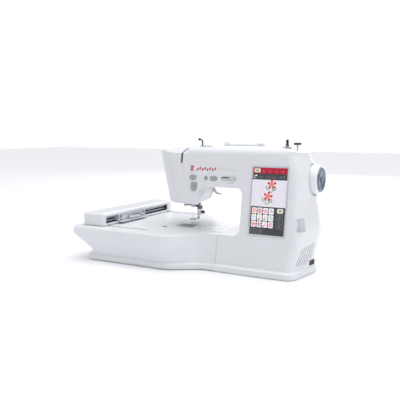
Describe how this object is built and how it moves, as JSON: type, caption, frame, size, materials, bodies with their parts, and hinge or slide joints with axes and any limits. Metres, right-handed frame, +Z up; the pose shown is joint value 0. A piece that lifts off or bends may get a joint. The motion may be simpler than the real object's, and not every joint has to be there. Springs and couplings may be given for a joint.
{
  "type": "embroidery machine",
  "caption": "Free-arm embroidery machine with touch screen, handwheel and an attached embroidery unit whose arm and hoop carriage travel along two axes.",
  "frame": {"origin": "middle of the footprint, on the surface the machine stands on", "axes": "+X to the right along the machine, +Y to its back, +Z up"},
  "size_m": [0.615, 0.376, 0.3137],
  "materials": {
    "casing": "moulded white ABS, satin gloss",
    "bezel": "silver-grey moulded plastic",
    "screen": "glass-fronted display",
    "buttons": "grey keys, fine matte",
    "rubber": "soft rubber",
    "belt": "toothed belt rubber",
    "bright_steel": "polished steel",
    "plate_steel": "fine brushed",
    "cast_frame": "as cast",
    "motor_black": "black enamel",
    "board": "solder-masked board",
    "lamp": "clear lens",
    "clear": "clear moulded plastic",
    "black_plastic": "black moulded plastic",
    "grey_plastic": "grey moulded plastic",
    "wheel_cap": "metallic blue-grey",
    "arm_metal": "plated sheet and die casting"
  },
  "bodies": {
    "machine": {"base_pan": "casing", "machine_feet": "rubber", "base_cover": "casing", "front_cover": "casing", "rear_cover": "casing", "face_cover": "casing", "casing_screws": "bright_steel", "handwheel_well": "casing", "screen_bezel": "bezel", "display_screen": "screen", "control_board": "board", "lamp_lens": "lamp", "top_thread_guide": "bright_steel", "winder_stop": "black_plastic", "spool_pin": "casing", "power_inlet": "black_plastic", "free_arm_cover": "casing", "needle_plate": "plate_steel", "machine_frame": "cast_frame", "drive_belts": "belt", "main_motor": "motor_black", "bobbin_case": "black_plastic"},
    "main_drive": {"main_shaft": "bright_steel", "handwheel": "casing", "handwheel_cap": "wheel_cap"},
    "lower_drive": {"lower_shaft": "bright_steel"},
    "hook": {"rotary_hook": "bright_steel"},
    "motor_rotor": {"motor_pulley": "motor_black"},
    "bobbin": {"bobbin": "clear"},
    "needle_bar": {"needle_bar": "bright_steel", "needle_clamp": "bright_steel", "needle": "bright_steel"},
    "take_up": {"take_up_lever": "bright_steel"},
    "presser": {"presser_bar": "bright_steel", "embroidery_foot": "bright_steel", "foot_screw": "black_plastic"},
    "lifter": {"presser_lifter": "casing"},
    "threader": {"needle_threader": "bright_steel"},
    "feed": {"feed_dog": "bright_steel"},
    "reverse_key": {"reverse_button": "buttons"},
    "needle_key": {"needle_button": "buttons"},
    "cutter_key": {"cutter_button": "buttons"},
    "start_key": {"start_button": "buttons"},
    "speed_knob": {"speed_slider": "buttons"},
    "winder_carrier": {"winder_seat": "grey_plastic"},
    "winder_spindle": {"winder_spindle": "bright_steel"},
    "switch": {"power_switch": "black_plastic"},
    "hatch": {"bobbin_hatch": "clear"},
    "unit": {"unit_lower_shell": "casing", "unit_top_cover": "casing", "unit_feet": "rubber", "unit_rails": "bright_steel", "unit_motor": "motor_black", "unit_plug": "black_plastic"},
    "unit_release": {"unit_release": "casing"},
    "arm": {"arm_cover": "casing", "arm_chassis": "arm_metal", "arm_motor": "motor_black"},
    "carriage": {"hoop_carriage": "arm_metal"},
    "latch": {"hoop_latch": "grey_plastic"}
  },
  "joints": [
    {"name": "handwheel_spin", "type": "hinge", "parent": "machine", "child": "main_drive", "pos_m": [0, -0.012, 0.219], "axis": [1, 0, 0], "continuous": true},
    {"name": "lower_shaft_spin", "type": "hinge", "parent": "machine", "child": "lower_drive", "pos_m": [0, -0.01, 0.052], "axis": [1, 0, 0], "continuous": true},
    {"name": "hook_spin", "type": "hinge", "parent": "machine", "child": "hook", "pos_m": [-0.04, -0.038, 0], "axis": [0, 0, 1], "continuous": true},
    {"name": "motor_spin", "type": "hinge", "parent": "machine", "child": "motor_rotor", "pos_m": [0, 0.04, 0.11], "axis": [1, 0, 0], "continuous": true},
    {"name": "bobbin_spin", "type": "hinge", "parent": "machine", "child": "bobbin", "pos_m": [-0.04, -0.038, 0], "axis": [0, 0, 1], "continuous": true},
    {"name": "needle_bar_slide", "type": "slide", "parent": "machine", "child": "needle_bar", "axis": [0, 0, 1], "range_m": [-0.031, 0]},
    {"name": "take_up_pivot", "type": "hinge", "parent": "machine", "child": "take_up", "pos_m": [-0.028, -0.04, 0.232], "axis": [1, 0, 0], "range_deg": [0, 40]},
    {"name": "presser_slide", "type": "slide", "parent": "machine", "child": "presser", "axis": [0, 0, 1], "range_m": [-0.01, 0]},
    {"name": "lifter_pivot", "type": "hinge", "parent": "machine", "child": "lifter", "pos_m": [-0.012, 0.018, 0.19], "axis": [0, 1, 0], "range_deg": [0, 40]},
    {"name": "threader_slide", "type": "slide", "parent": "machine", "child": "threader", "axis": [0, 0, 1], "range_m": [-0.022, 0], "stiffness_N_per_m": 80, "springref_m": 0.006},
    {"name": "feed_lift", "type": "slide", "parent": "machine", "child": "feed", "axis": [0, 0, 1], "range_m": [0, 0.0048]},
    {"name": "reverse_press", "type": "slide", "parent": "machine", "child": "reverse_key", "axis": [0, 0.9898, -0.1426], "range_m": [0, 0.0012], "stiffness_N_per_m": 500, "springref_m": -0.0006},
    {"name": "needle_press", "type": "slide", "parent": "machine", "child": "needle_key", "axis": [0, 0.9898, -0.1426], "range_m": [0, 0.0012], "stiffness_N_per_m": 500, "springref_m": -0.0006},
    {"name": "cutter_press", "type": "slide", "parent": "machine", "child": "cutter_key", "axis": [0, 0.9898, -0.1426], "range_m": [0, 0.0012], "stiffness_N_per_m": 500, "springref_m": -0.0006},
    {"name": "start_press", "type": "slide", "parent": "machine", "child": "start_key", "axis": [0, 0.9898, -0.1426], "range_m": [0, 0.0012], "stiffness_N_per_m": 500, "springref_m": -0.0006},
    {"name": "speed_slide", "type": "slide", "parent": "machine", "child": "speed_knob", "axis": [1, 0, 0], "range_m": [-0.022, 0]},
    {"name": "winder_engage", "type": "slide", "parent": "machine", "child": "winder_carrier", "axis": [1, 0, 0], "range_m": [0, 0.005]},
    {"name": "winder_spin", "type": "hinge", "parent": "winder_carrier", "child": "winder_spindle", "pos_m": [0.225, -0.027, 0.3], "axis": [0, 0, 1], "continuous": true},
    {"name": "switch_rock", "type": "hinge", "parent": "machine", "child": "switch", "pos_m": [0.285, -0.026, 0.025], "axis": [0, 0, 1], "range_deg": [0, 10]},
    {"name": "hatch_lift", "type": "slide", "parent": "machine", "child": "hatch", "axis": [0, 0, 1], "range_m": [0, 0.02]},
    {"name": "unit_slide", "type": "slide", "parent": "machine", "child": "unit", "axis": [1, 0, 0], "range_m": [-0.2, 0]},
    {"name": "release_press", "type": "slide", "parent": "unit", "child": "unit_release", "axis": [1, 0, 0], "range_m": [0, 0.004], "stiffness_N_per_m": 400, "springref_m": -0.001},
    {"name": "arm_x_slide", "type": "slide", "parent": "unit", "child": "arm", "axis": [1, 0, 0], "range_m": [0, 0.145]},
    {"name": "carriage_y_slide", "type": "slide", "parent": "arm", "child": "carriage", "axis": [0, 1, 0], "range_m": [-0.037, 0.125]},
    {"name": "latch_pivot", "type": "hinge", "parent": "carriage", "child": "latch", "pos_m": [-0.21, -0.06, 0.1], "axis": [0, 0, 1], "range_deg": [-25, 0]}
  ],
  "couplings": [
    {"joint": "lower_shaft_spin", "follows": "handwheel_spin", "ratio": 1},
    {"joint": "hook_spin", "follows": "handwheel_spin", "ratio": 2},
    {"joint": "motor_spin", "follows": "handwheel_spin", "ratio": 3},
    {"joint": "take_up_pivot", "follows": "needle_bar_slide", "rad_per_m": -22.5},
    {"joint": "lifter_pivot", "follows": "presser_slide", "rad_per_m": -69.8}
  ]
}
